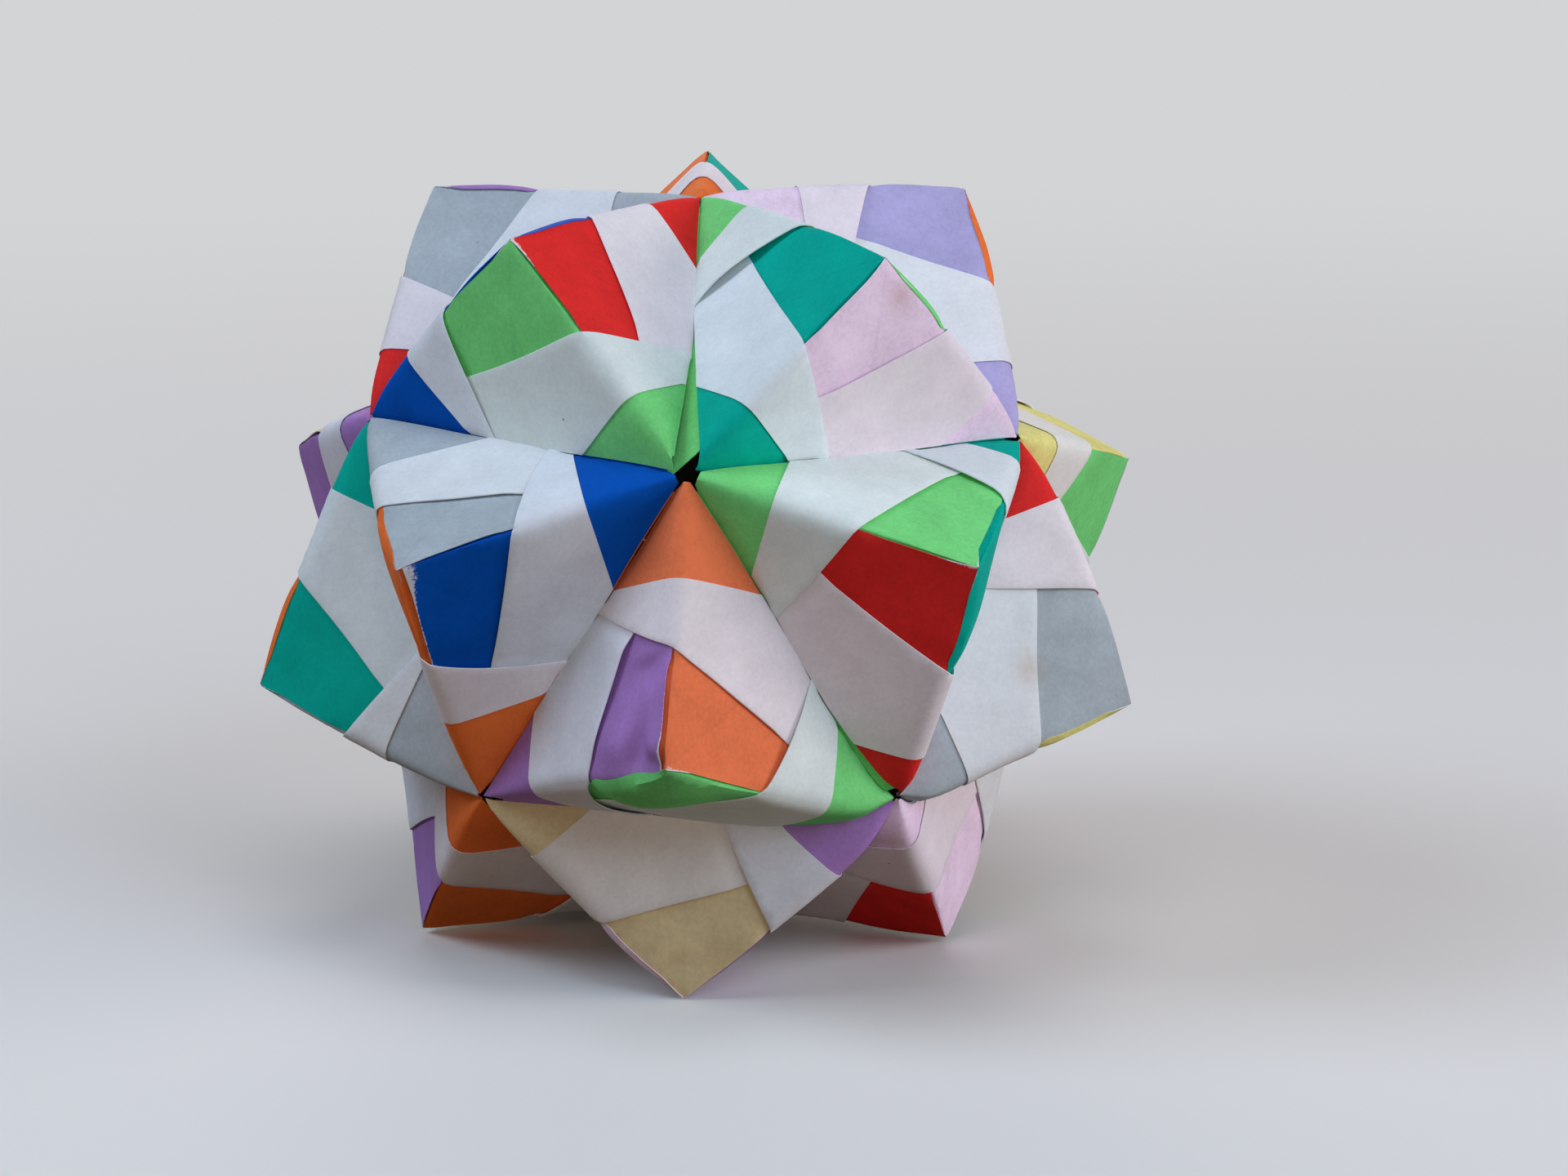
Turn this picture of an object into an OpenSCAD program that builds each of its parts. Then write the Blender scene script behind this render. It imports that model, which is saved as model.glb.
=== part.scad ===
// Folded paper ball of thirty square sheets. Each sheet is folded into a unit with two faces, two
// pockets and two tabs. A unit lies along each edge of an icosahedron, as the valley between two
// of the twenty three-sided points, and every tab slips into a neighbour's pocket. There is no
// glue, no core and no cord, so the ball is hollow and sixty slip joints hold it together.

/* [Sheet] */
// Side of the square sheet that each unit is folded from
sheet_side = 75; // [50:1:150]
// Thickness of the paper
paper_t = 0.1; // [0.06:0.01:0.14]

/* [Joints] */
// Layers of paper in a tab
tab_plies = 3; // [2:1:4]
// Layers of paper in the back wall of a pocket
back_plies = 3; // [2:1:4]
// Slip room above and below a tab in its pocket
pocket_slip = 0.06; // [0.03:0.01:0.12]
// How far a tab stops short of the valley at the bottom of its pocket
tab_short = 0.5; // [0.3:0.1:2]

/* [Eyes] */
// Opening left where five units meet, which also takes a hanging thread
eye_d = 2.4; // [1.6:0.2:5]

/* [Hidden] */
$fn = 48;

// Shades of the ten papers
function shade(paper) =
    paper == "green" ? "#76c88a" :
    paper == "pink" ? "#ddc6da" :
    paper == "orange" ? "#da7445" :
    paper == "gray" ? "#99a5b0" :
    paper == "red" ? "#d53b3a" :
    paper == "teal" ? "#029b96" :
    paper == "purple" ? "#8970a8" :
    paper == "blue" ? "#0c62b7" :
    paper == "yellow" ? "#dcd67e" : "#b9a67c";

// Papers of the units around the top eye, from the front and anticlockwise seen from above
crown_papers = ["green", "pink", "orange", "gray", "red"];
// Papers of the units that ring the crown
upper_belt_papers = ["teal", "purple", "teal", "purple", "blue"];
// Papers of the waist units that go down to the right seen from outside
waist_right_papers = ["green", "yellow", "blue", "beige", "gray"];
// Papers of the waist units that go down to the left seen from outside
waist_left_papers = ["orange", "red", "green", "yellow", "teal"];
// Papers of the units that ring the base
lower_belt_papers = ["gray", "pink", "blue", "orange", "purple"];
// Papers of the units around the bottom eye
base_papers = ["pink", "red", "yellow", "purple", "beige"];

// Creases of one sheet: the folded edge is half the side, and each face is half a square whose
// legs are the ridges. The corners are halved once more, so the pocket mouths lie at 22.5 degrees.
valley = sheet_side / 2;
ridge = valley / sqrt(2);
raw_edge = sheet_side / 4;
mouth_slope = tan(22.5);

// Icosahedron whose edges are the valleys, with one point of it at the top
centre_to_eye = valley * sin(72);
centre_to_valley = valley * (1 + sqrt(5)) / 4;
ring_z = centre_to_eye / sqrt(5);
ring_r = 2 * ring_z;
// Angle between neighbours around an eye
turn_angle = 72;
function ring_point(turn, z) = [ring_r * cos(turn - 90), ring_r * sin(turn - 90), z];
function upper(k) = ring_point(k * turn_angle, ring_z);
function lower(k) = ring_point((k + 0.5) * turn_angle, -ring_z);
top = [0, 0, centre_to_eye];
bottom = [0, 0, -centre_to_eye];

// Points over the faces: cube corners, with their ridges square to each other
function point_over(a, b, c) =
    let (middle = (a + b + c) / 3)
    middle * (1 + ridge / sqrt(3) / norm(middle));
centre_to_face = norm(top + upper(0) + upper(1)) / 3;
face_slope = acos(1 / sqrt(3)) - acos(centre_to_face / centre_to_valley);

// Depths under the face plane: flap, pocket cover, the flap of the neighbour's tab, the tab
// itself and the back wall, with slip room around the tab
cover_top = paper_t;
cover_bottom = cover_top + paper_t;
tab_flap_top = cover_bottom + pocket_slip;
tab_top = tab_flap_top + paper_t;
tab_bottom = tab_top + tab_plies * paper_t;
back_top = tab_bottom + pocket_slip;
back_bottom = back_top + back_plies * paper_t;

// Reach of each layer across the face, measured as the sum of its distances from both ridges.
// Layers that share a crease stop at slightly different reaches, as folded plies do.
flap_reach = ridge + paper_t;
cover_reach = ridge + paper_t / 2;
tab_reach = ridge - sqrt(2) * tab_short;
tab_flap_reach = tab_reach - 2 * paper_t;
back_reach = ridge + sqrt(2) * (back_top + back_bottom) / 2 * tan(face_slope);
tab_start = tab_bottom + pocket_slip;
back_start = back_bottom + pocket_slip;
// Part of the cover that lies under the turned flap's raw edge
cover_lap = 5 * paper_t;

// Length of the cut for an eye, which passes every layer around it
eye_cut = 2 * eye_d + 6 * back_bottom;

// Lowest spot: the end of a ridge at the rim of the bottom eye
foot_point = point_over(bottom, lower(0), lower(1));
foot_along = (bottom - foot_point) / ridge;
foot_edge = foot_point + (tab_top * (lower(0) - foot_point) + cover_top * (lower(1) - foot_point)) / ridge;
function flat(v) = [v.x, v.y];
function along_to_rim(p, d, r) =
    (-p * d - sqrt((p * d) ^ 2 - (d * d) * (p * p - r ^ 2))) / (d * d);
foot_reach = along_to_rim(flat(foot_edge), flat(foot_along), eye_d / 2);
centre_z = -(foot_edge + foot_reach * foot_along).z;

// Units by place: node name, the two eyes that the valley runs between, and the paper
units = [
    for (k = [0:4]) [str("crown_unit_", k + 1), top, upper(k), crown_papers[k]],
    for (k = [0:4]) [str("upper_belt_unit_", k + 1), upper(k), upper(k + 1), upper_belt_papers[k]],
    for (k = [0:4]) [str("waist_right_unit_", k + 1), upper(k), lower(k), waist_right_papers[k]],
    for (k = [0:4]) [str("waist_left_unit_", k + 1), upper(k), lower(k - 1), waist_left_papers[k]],
    for (k = [0:4]) [str("lower_belt_unit_", k + 1), lower(k), lower(k + 1), lower_belt_papers[k]],
    for (k = [0:4]) [str("base_unit_", k + 1), bottom, lower(k), base_papers[k]]
];

// Half of a square with its right angle at the point, cut back from each ridge and to a reach
module half_square(from_far_ridge, from_own_ridge, reach) {
    polygon([
        [from_far_ridge, from_own_ridge],
        [reach - from_own_ridge, from_own_ridge],
        [from_far_ridge, reach - from_far_ridge]
    ]);
}

// All of a face on the eye's side of the 22.5 degree crease, which leans one way on the face
// and the other way on the tab
module past_mouth(lean) {
    polygon([
        [mouth_slope * (1 - lean) * ridge, -ridge],
        [2 * ridge, -ridge],
        [2 * ridge, ridge],
        [mouth_slope * (1 + lean) * ridge, ridge]
    ]);
}

// Layer of a face between two depths under its plane
module face_layer(upper_side, lower_side) {
    translate([0, 0, -lower_side])
        linear_extrude(lower_side - upper_side) children();
}

// Layer of the tab, which turns over the unit's own ridge onto the neighbouring face
module tab_layer(upper_side, lower_side) {
    rotate([-90, 0, 0])
        translate([0, 0, upper_side])
            linear_extrude(lower_side - upper_side) children();
}

// Back wall of the pocket, which runs under the valley to meet the unit's other half
module pocket_back() {
    face_layer(back_top, back_bottom)
        half_square(back_start, (tab_top + tab_bottom) / 2, back_reach);
}

// Cover of the pocket, coloured side out, from the flap's raw edge to the eye
module pocket_cover() {
    face_layer(cover_top, cover_bottom)
        half_square(raw_edge - cover_lap, tab_top, cover_reach);
}

// Turned flap, white side out, from the pocket's mouth to the raw edge. It is doubled over the
// cover and runs on over the ridge, where it lies on the tab.
module turned_flap() {
    face_layer(0, cover_bottom)
        intersection() {
            half_square(0, tab_flap_top, flap_reach);
            past_mouth(1);
            square([raw_edge, ridge]);
        }
    tab_layer(tab_flap_top, (tab_top + tab_bottom) / 2)
        intersection() {
            half_square(tab_start + paper_t, 0, tab_flap_reach);
            past_mouth(-1);
            square([raw_edge, ridge]);
        }
}

// Tab, whose edge on the ridge steps up where the pocket's cover joins it
module tab() {
    step_up = mouth_slope * ridge + paper_t;
    tab_layer(tab_top, tab_bottom)
        polygon([
            [tab_start, tab_top],
            [step_up, tab_top],
            [step_up, cover_top],
            [tab_reach - cover_top, cover_top],
            [tab_start, tab_reach - tab_start]
        ]);
}

// Side of the pocket, from the cover down to the back wall at the valley
module pocket_side() {
    deep = back_top / cos(face_slope) + paper_t;
    translate([-valley / 2, -paper_t, -deep])
        cube([mouth_slope * valley - cover_lap, 2 * paper_t, deep - cover_top]);
}

// Half of a unit. Its valley lies on the X axis, with the eye that it covers at -X.
module half_unit() {
    pocket_side();
    rotate([face_slope, 0, 0])
        translate([0, valley / 2, 0])
            rotate([0, 0, 225]) {
                pocket_back();
                pocket_cover();
                turned_flap();
                tab();
            }
}

// Places a unit on the valley between two eyes
module on_valley(a, b) {
    middle = (a + b) / 2;
    x = (b - a) / norm(b - a);
    z = middle / norm(middle);
    y = cross(z, x);
    multmatrix([
        [x.x, y.x, z.x, middle.x],
        [x.y, y.y, z.y, middle.y],
        [x.z, y.z, z.z, middle.z],
        [0, 0, 0, 1]
    ]) children();
}

// Round opening along the line from the ball's centre through an eye
module eye_hole(v) {
    translate(v)
        rotate([0, acos(v.z / norm(v)), atan2(v.y, v.x)])
            cylinder(d = eye_d, h = eye_cut, center = true);
}

// One folded sheet in its place
module folded_unit(a, b, paper) {
    color(shade(paper))
        translate([0, 0, centre_z])
            difference() {
                on_valley(a, b)
                    for (turn = [0, 180]) rotate([0, 0, turn]) half_unit();
                eye_hole(a);
                eye_hole(b);
            }
}

for (u = units)
    folded_unit(u[1], u[2], u[3]);
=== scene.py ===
import itertools
import math
import random

import bpy
import numpy as np
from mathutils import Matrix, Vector
from mathutils.geometry import delaunay_2d_cdt


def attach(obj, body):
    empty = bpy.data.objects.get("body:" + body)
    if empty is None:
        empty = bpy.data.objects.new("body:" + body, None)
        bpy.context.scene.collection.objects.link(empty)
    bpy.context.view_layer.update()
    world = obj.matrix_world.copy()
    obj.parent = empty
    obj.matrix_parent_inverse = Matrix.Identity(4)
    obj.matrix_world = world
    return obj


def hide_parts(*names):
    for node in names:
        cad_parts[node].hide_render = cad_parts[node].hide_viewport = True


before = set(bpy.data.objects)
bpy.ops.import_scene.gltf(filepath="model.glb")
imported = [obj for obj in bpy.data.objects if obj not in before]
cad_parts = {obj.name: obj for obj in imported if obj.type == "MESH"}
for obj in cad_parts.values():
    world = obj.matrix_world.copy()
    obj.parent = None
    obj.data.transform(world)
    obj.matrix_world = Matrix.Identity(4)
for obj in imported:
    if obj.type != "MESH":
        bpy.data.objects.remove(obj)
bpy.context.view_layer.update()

mm = 0.001
sheetLayer = {"body": 0.0, "cover": 1.0, "flap": 2.0}   # third number of a sheet's "cut" attribute
print("frame loaded,", len(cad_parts), "folded units")


def linearColor(hexText):
    parts = [int(hexText[i:i + 2], 16) / 255 for i in (1, 3, 5)]
    return [c / 12.92 if c <= 0.04045 else ((c + 0.055) / 1.055) ** 2.4 for c in parts] + [1.0]


def addNode(tree, kind, feeds=None, **settings):
    # feeds: by socket name or number, a node, one of its outputs or a plain value
    node = tree.nodes.new(kind)
    for key, value in settings.items():
        setattr(node, key, value)
    for socket, feed in (feeds or {}).items():
        if isinstance(feed, bpy.types.Node):
            feed = feed.outputs[0]
        if isinstance(feed, bpy.types.NodeSocket):
            tree.links.new(feed, node.inputs[socket])
        else:
            node.inputs[socket].default_value = feed
    return node


def smoothStep(low, high, value):
    t = min(1.0, max(0.0, (value - low) / (high - low)))
    return t * t * (3 - 2 * t)


# camera, at the photograph's viewing angle
view = {
    "place": (0.015853, -0.439343, 0.141640),   # m
    "azimuth": 0.9875,      # degrees
    "elevation": 13.874,
    "roll": 0.697,
    "lens": 109.03,         # mm
    "sensorWidth": 36.0,
    "nearest": 0.01,        # m, nothing closer is drawn
}


def makeCamera():
    data = bpy.data.cameras.new("viewCamera")
    data.sensor_fit = "HORIZONTAL"
    data.sensor_width = view["sensorWidth"]
    data.lens = view["lens"]
    data.clip_start = view["nearest"]
    camera = bpy.data.objects.new("viewCamera", data)
    camera.location = view["place"]
    camera.rotation_euler = (
        math.radians(90 - view["elevation"]), 0.0, math.radians(view["azimuth"]))
    camera.rotation_euler.rotate_axis("Z", math.radians(view["roll"]))
    bpy.context.scene.collection.objects.link(camera)
    bpy.context.scene.camera = camera


makeCamera()
print("camera set")

# floor, backdrop and light
studio = {
    "floorColor": "#f3f0ea",    # as it is seen
    "bounceColor": "#5e4a36",   # what it throws back up at the ball
    "wallColor": "#d2d4d6",     # the floor fades into this with distance
    "floorHeight": 0.61,        # mm, where the lowest point touches down
    "floorReach": 4.0,          # m, each way
    "floorRoughness": 0.9,
    "floorSpecular": 0.1,
    "fadeFrom": 0.10,           # m
    "fadeTo": 0.50,
    "worldLevel": 0.05,
    "worldColor": "#ffe6d4",
    "lampTarget": 35.0,         # mm, height of the ball's middle
    "lampDistance": 0.8,        # m
    "lampSize": 0.4,            # m
    "lamps": {
        "rightLight": {"from": (0.97, -0.10, 0.20), "power": 2.92, "color": "#fff9fd"},
        "leftLight": {"from": (-0.75, -0.15, 0.65), "power": 2.95, "color": "#d4e7ff"},
        "keyLight": {"from": (0.50, -0.60, 0.62), "power": 1.85, "color": "#cbe3ff"},
        "topLight": {"from": (0.00, -0.10, 1.00), "power": 1.2, "color": "#f6f6ff"},
        "frontLight": {"from": (0.00, -1.00, 0.05), "power": 1.1, "color": "#fff4ec"},
        "backLight": {"from": (-0.15, 1.00, 0.30), "power": 1.5, "color": "#fff4ec"},
    },
}


def seenItself(tree):
    # 1 for rays that show the background itself: to the camera, in a sheen or through glass
    path = addNode(tree, "ShaderNodeLightPath").outputs
    seen = path["Is Camera Ray"]
    for kind in ("Is Glossy Ray", "Is Transmission Ray"):
        seen = addNode(tree, "ShaderNodeMath", {0: seen, 1: path[kind]}, operation="MAXIMUM").outputs[0]
    return seen


def makeStage():
    low = studio["floorHeight"] * mm
    far = studio["floorReach"]
    corners = [(-far, -far, low), (far, -far, low), (far, far, low), (-far, far, low)]
    mesh = bpy.data.meshes.new("floor")
    mesh.from_pydata(corners, [], [(0, 1, 2, 3)])
    floor = bpy.data.objects.new("floor", mesh)
    bpy.context.scene.collection.objects.link(floor)
    # matt painted board, pale and even, that takes the ball's soft shadow
    board = bpy.data.materials.new("matt painted board")
    board.use_nodes = True
    tree = board.node_tree
    shader = tree.nodes["Principled BSDF"]
    seen = seenItself(tree)
    shade = addNode(tree, "ShaderNodeMix", {
        0: seen, 6: linearColor(studio["bounceColor"]), 7: linearColor(studio["floorColor"])},
        data_type="RGBA")
    tree.links.new(shade.outputs[2], shader.inputs["Base Color"])
    shader.inputs["Roughness"].default_value = studio["floorRoughness"]
    shader.inputs["Specular IOR Level"].default_value = studio["floorSpecular"]
    # with distance, the same even tone as the world behind it
    place = addNode(tree, "ShaderNodeTexCoord").outputs["Object"]
    away = addNode(tree, "ShaderNodeVectorMath", {0: place}, operation="LENGTH").outputs["Value"]
    fade = addNode(tree, "ShaderNodeMapRange", {
        0: away, 1: studio["fadeFrom"], 2: studio["fadeTo"]}, interpolation_type="SMOOTHSTEP")
    fade = addNode(tree, "ShaderNodeMath", {0: fade, 1: seen}, operation="MULTIPLY")
    wall = addNode(tree, "ShaderNodeEmission", {"Color": linearColor(studio["wallColor"]), "Strength": 1.0})
    blend = addNode(tree, "ShaderNodeMixShader", {0: fade, 1: shader, 2: wall})
    tree.links.new(blend.outputs[0], tree.nodes["Material Output"].inputs["Surface"])
    mesh.materials.append(board)


def makeLight():
    world = bpy.data.worlds.new("studio")
    world.use_nodes = True
    tree = world.node_tree
    background = tree.nodes["Background"]
    seen = seenItself(tree)
    color = addNode(tree, "ShaderNodeMix", {
        0: seen, 6: linearColor(studio["worldColor"]), 7: linearColor(studio["wallColor"])},
        data_type="RGBA")
    level = addNode(tree, "ShaderNodeMapRange", {0: seen, 3: studio["worldLevel"], 4: 1.0})
    tree.links.new(color.outputs[2], background.inputs["Color"])
    tree.links.new(level.outputs[0], background.inputs["Strength"])
    bpy.context.scene.world = world
    target = Vector((0, 0, studio["lampTarget"] * mm))
    for name, lamp in studio["lamps"].items():
        data = bpy.data.lights.new(name, "AREA")
        data.energy = lamp["power"]
        data.size = studio["lampSize"]
        data.color = linearColor(lamp["color"])[:3]
        lampObject = bpy.data.objects.new(name, data)
        direction = Vector(lamp["from"]).normalized()
        lampObject.location = target + direction * studio["lampDistance"]
        lampObject.rotation_euler = direction.to_track_quat("Z", "Y").to_euler()
        bpy.context.scene.collection.objects.link(lampObject)


makeStage()
makeLight()
bpy.context.scene.view_settings.view_transform = "Standard"
print("stage and light set")

# Ten coloured folding papers. Thin bleached paper, printed matt on one side: an even colour with fine
# fibre mottle and hardly any sheen, paler where cut edges and corners have rubbed.
papers = {   # printed side, and the white side that the print shows through
    "green": ("#80e686", "#e9f3ee"),
    "pink": ("#fee4fa", "#f7ebf2"),
    "orange": ("#ff7e3c", "#f7eef0"),
    "gray": ("#b9c4c9", "#eef2f4"),
    "red": ("#f2322f", "#f5eef1"),
    "teal": ("#00b5a1", "#e8f2f4"),
    "purple": ("#b385cb", "#eff0f7"),
    "blue": ("#0058bf", "#ecf1f7"),
    "yellow": ("#f5ee94", "#f3f3ec"),
    "beige": ("#ecd6a4", "#f5eee8"),
}
paperLook = {
    "bareColor": "#f2f3f3",       # under the print
    "paintedSheenColor": "#c4d2f6",       # painted sheen: the paler, bluer colour that lit sheets are drawn toward
    "fibre": 0.40,                # mm, drawn about four times as coarse as real fibres so that it shows
    "cloud": 4.0,                 # mm, uneven sheet formation
    "noiseRoughness": 0.65,
    "mottleRange": (0.65, 1.35),  # fibre and cloud together, from dark to light
    "mottleDark": 0.15,           # how much darker and lighter they make the print
    "mottleLight": 0.11,
    "whiteMottle": 0.6,           # share of that on the white side
    "innerWidth": 0.35,           # mm, of the inner fold's line
    "innerLine": 0.045,           # how dark that line is
    "innerPly": 0.025,            # and the doubled paper beside it
    "innerBlur": 0.2,             # mm
    "grit": 0.30,                 # mm, crumbs of print along rubbed edges
    "gritRange": (0.12, 0.32),    # where the print begins to go, and where it has gone
    "wornMost": 0.85,
    "stainColor": "#b98a52",
    "fleck": 7.0,                 # mm between dark flecks in the pulp
    "fleckSize": 0.08,            # mm, drawn a little larger than real ones
    "fleckSoft": 1.8,             # the soft rim ends at this many sizes
    "fleckOnPrint": 0.3,
    "fleckOnWhite": 0.75,
    "fleckColor": "#4a463f",
    "bump": 0.35,
    "bumpHeight": 0.02,           # mm
    "roughness": 0.75,
    "specular": 0.08,
}


def makePaper(name, hexText, reverse):
    look = paperLook
    side = "white side" if reverse else "printed side"
    material = bpy.data.materials.new(f"{name} folding paper, {side}")
    material.use_nodes = True
    tree = material.node_tree
    shader = tree.nodes["Principled BSDF"]
    bare = linearColor(look["bareColor"])
    place = addNode(tree, "ShaderNodeTexCoord").outputs["Object"]
    grain = {}
    for label, detail in (("fibre", 3.0), ("cloud", 2.0), ("grit", 4.0)):
        grain[label] = addNode(tree, "ShaderNodeTexNoise", {
            "Vector": place, "Scale": 1 / (look[label] * mm), "Detail": detail,
            "Roughness": look["noiseRoughness"]})
    # marks stored on the sheet: fade is painted sheen, rim and rub real wear, stain real stains
    marks = {}
    for label in ("fade", "rim", "rub", "stain"):
        marks[label] = addNode(tree, "ShaderNodeAttribute", attribute_name=label).outputs["Fac"]

    # fibre mottle and cloudy formation
    mottle = addNode(tree, "ShaderNodeMath", {0: grain["fibre"], 1: grain["cloud"]}, operation="ADD")
    depth = look["whiteMottle"] if reverse else 1.0
    low, high = look["mottleRange"]
    shade = addNode(tree, "ShaderNodeMapRange", {
        0: mottle, 1: low, 2: high, 3: 1 - look["mottleDark"] * depth, 4: 1 + look["mottleLight"] * depth})
    # the sheet's inner fold shows through as a faint line from the point across the tab
    cut = addNode(tree, "ShaderNodeAttribute", attribute_name="cut").outputs["Vector"]
    flat = addNode(tree, "ShaderNodeSeparateXYZ", {0: cut}).outputs
    across = addNode(tree, "ShaderNodeMath", {0: flat[0], 1: flat[1]}, operation="ADD")
    beside = addNode(tree, "ShaderNodeMath", {0: across}, operation="ABSOLUTE")
    line = addNode(tree, "ShaderNodeMapRange", {
        0: beside, 1: 0.0, 2: look["innerWidth"], 3: look["innerLine"], 4: 0.0})
    blur = look["innerBlur"]
    below = addNode(tree, "ShaderNodeMapRange", {0: across, 1: -blur, 2: blur, 3: 0.0, 4: look["innerPly"]})
    inner = addNode(tree, "ShaderNodeMath", {0: line, 1: below}, operation="ADD")
    notBody = sheetLayer["body"] + 0.5
    onTab = addNode(tree, "ShaderNodeMath", {0: flat[2], 1: notBody}, operation="LESS_THAN")
    inner = addNode(tree, "ShaderNodeMath", {0: inner, 1: onTab}, operation="MULTIPLY")
    # rubbed edges and corners: "rim" is the distance to the edge in mm, "rub" how far the wear reaches
    reach = addNode(tree, "ShaderNodeMath", {0: marks["rim"], 1: marks["rub"]}, operation="DIVIDE")
    crumbs = addNode(tree, "ShaderNodeMath", {0: grain["grit"], 1: reach}, operation="SUBTRACT")
    low, high = look["gritRange"]
    worn = addNode(tree, "ShaderNodeMapRange", {0: crumbs, 1: low, 2: high, 3: 0.0, 4: look["wornMost"]})
    # dark flecks, here and there
    cells = addNode(tree, "ShaderNodeTexVoronoi", {"Vector": place, "Scale": 1 / (look["fleck"] * mm)})
    size = look["fleckSize"] / look["fleck"]
    dark = look["fleckOnWhite"] if reverse else look["fleckOnPrint"]
    fleck = addNode(tree, "ShaderNodeMapRange", {
        0: cells.outputs["Distance"], 1: size, 2: size * look["fleckSoft"], 3: dark, 4: 0.0})

    layers = [
        (marks["fade"], bare if reverse else linearColor(look["paintedSheenColor"]), "MIX"),   # painted sheen: lit sheets drawn paler and bluer
        (1.0, shade, "MULTIPLY"),
        (inner, (0.0, 0.0, 0.0, 1.0), "MIX"),
        (worn, bare, "MIX"),
        (marks["stain"], linearColor(look["stainColor"]), "MIX"),   # old damp and finger marks
        (fleck, linearColor(look["fleckColor"]), "MIX"),
    ]
    base = linearColor(hexText)
    for amount, over, blend in layers:
        base = addNode(tree, "ShaderNodeMix", {0: amount, 6: base, 7: over},
                       data_type="RGBA", blend_type=blend).outputs[2]
    tree.links.new(base, shader.inputs["Base Color"])
    bump = addNode(tree, "ShaderNodeBump", {
        "Strength": look["bump"], "Distance": look["bumpHeight"] * mm, "Height": grain["fibre"]})
    tree.links.new(bump.outputs[0], shader.inputs["Normal"])
    shader.inputs["Roughness"].default_value = look["roughness"]
    shader.inputs["Specular IOR Level"].default_value = look["specular"]
    return material


printedSide = {name: makePaper(name, colors[0], False) for name, colors in papers.items()}
whiteSide = {name: makePaper(name, colors[1], True) for name, colors in papers.items()}
print("papers made:", ", ".join(papers))

# The ball: an icosahedron of twelve eyes, a unit along each of its thirty edges, and a point with
# square ridges over each of its twenty faces.
ball = {
    "sheetSide": 75.0,        # mm
    "centreHeight": 35.2954,  # mm
    "aroundEye": 5,           # units that meet at an eye
    "nearly": 0.1,            # mm, slack for telling which eyes are neighbours
    # how far points and eyes stray from the true solid, mm
    "stray": {
        "top upper1 upper2": (1.83, -0.19, -0.90),
        "lower1 lower5 upper1": (-1.21, 0.09, 0.47),
        "lower1 upper1 upper2": (0.85, 0.10, 0.36),
        "top upper3 upper4": (-0.30, 0.27, 1.13),
        "lower1 lower2 upper2": (0.32, -0.30, -1.25),
        "lower5 upper1 upper5": (-0.25, -0.18, -0.76),
        "lower4 lower5 upper5": (0.39, -0.21, -0.88),
        "lower4 upper4 upper5": (1.04, -0.02, -0.14),
        "top upper1 upper5": (-0.70, 0.05, 0.24),
        "bottom lower1 lower2": (-0.78, 0.07, 0.33),
        "bottom lower4 lower5": (-0.63, 0.06, 0.30),
        "upper2": (-0.06, -0.23, -0.92),
        "lower1": (0.66, 0.12, 0.44),
        "bottom": (0.0, 0.0, 1.6),
        "bottom lower1 lower5": (0.0, 0.15, 0.35),
        "lower2 upper2 upper3": (1.0, 0.0, 0.0),
        "top upper2 upper3": (-0.27, 0.0, 0.70),
        "top upper4 upper5": (-0.60, 0.0, 0.20),
    },
    # how far the layers inside make a ridge stand out, mm: as a rule, and by point and eye
    "fullness": 1.05,
    "fullReach": 4.0,         # mm around the ridge that move with it
    "fullSkew": 1.2,          # above 1 it is fullest past its middle, toward the eye
    "ownFullness": {
        ("lower1 lower5 upper1", "upper1"): 0.0,
        ("lower1 lower5 upper1", "lower1"): 0.0,
        ("lower1 lower5 upper1", "lower5"): 0.0,
        ("lower1 lower2 upper2", "upper2"): 1.8,
        ("lower1 lower2 upper2", "lower1"): 0.65,
        ("top upper4 upper5", "top"): 0.45,
        ("top upper1 upper5", "top"): 0.8,
        ("top upper1 upper5", "upper5"): 1.3,
        ("bottom lower1 lower5", "lower5"): 0.65,
        ("bottom lower1 lower5", "lower1"): 0.4,
        ("bottom lower1 lower2", "lower2"): 1.5,
        ("bottom lower4 lower5", "lower4"): 0.0,
        ("lower2 upper2 upper3", "lower2"): 1.5,
    },
    # where handling has pushed the paper: spots as shares of points and eyes, sizes in mm
    "dents": [
        {"spot": {"lower5": 0.30, "lower1": 0.70}, "radius": 11.5, "push": (0.0, -0.7, -2.2)},
        {"spot": {"lower1": 1.0}, "radius": 1.9, "push": (0.0, 0.45, 1.40)},
        {"spot": {"lower1 lower5 upper1": 0.61, "lower5": 0.26, "upper1": 0.13}, "radius": 1.8,
         "push": (-0.4, -1.0, 0.0)},
        {"spot": {"lower1 lower5 upper1": 0.76, "lower5": 0.16, "upper1": 0.08}, "radius": 0.85,
         "push": (0.5, 1.1, 0.15), "toward": "upper1", "stretch": 2.5},
        {"spot": {"lower1 lower5 upper1": 0.90, "lower5": 0.07, "upper1": 0.03}, "radius": 1.0,
         "push": (0.45, 0.9, -0.3)},
        {"spot": {"lower1 lower5 upper1": 0.86, "lower5": 0.06, "upper1": 0.08}, "radius": 0.8,
         "push": (-0.45, -0.3, 0.0)},
        {"spot": {"lower1 lower5 upper1": 0.55, "lower5": 0.10, "upper1": 0.35}, "radius": 0.9,
         "push": (0.3, 0.9, 0.15), "toward": "lower5", "stretch": 2.0},
    ],
}
valley = ball["sheetSide"] / 2
ridge = valley / math.sqrt(2)
mouthAngle = math.pi / 8      # corners are halved twice, so pocket mouths lie at 22.5 degrees


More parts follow.
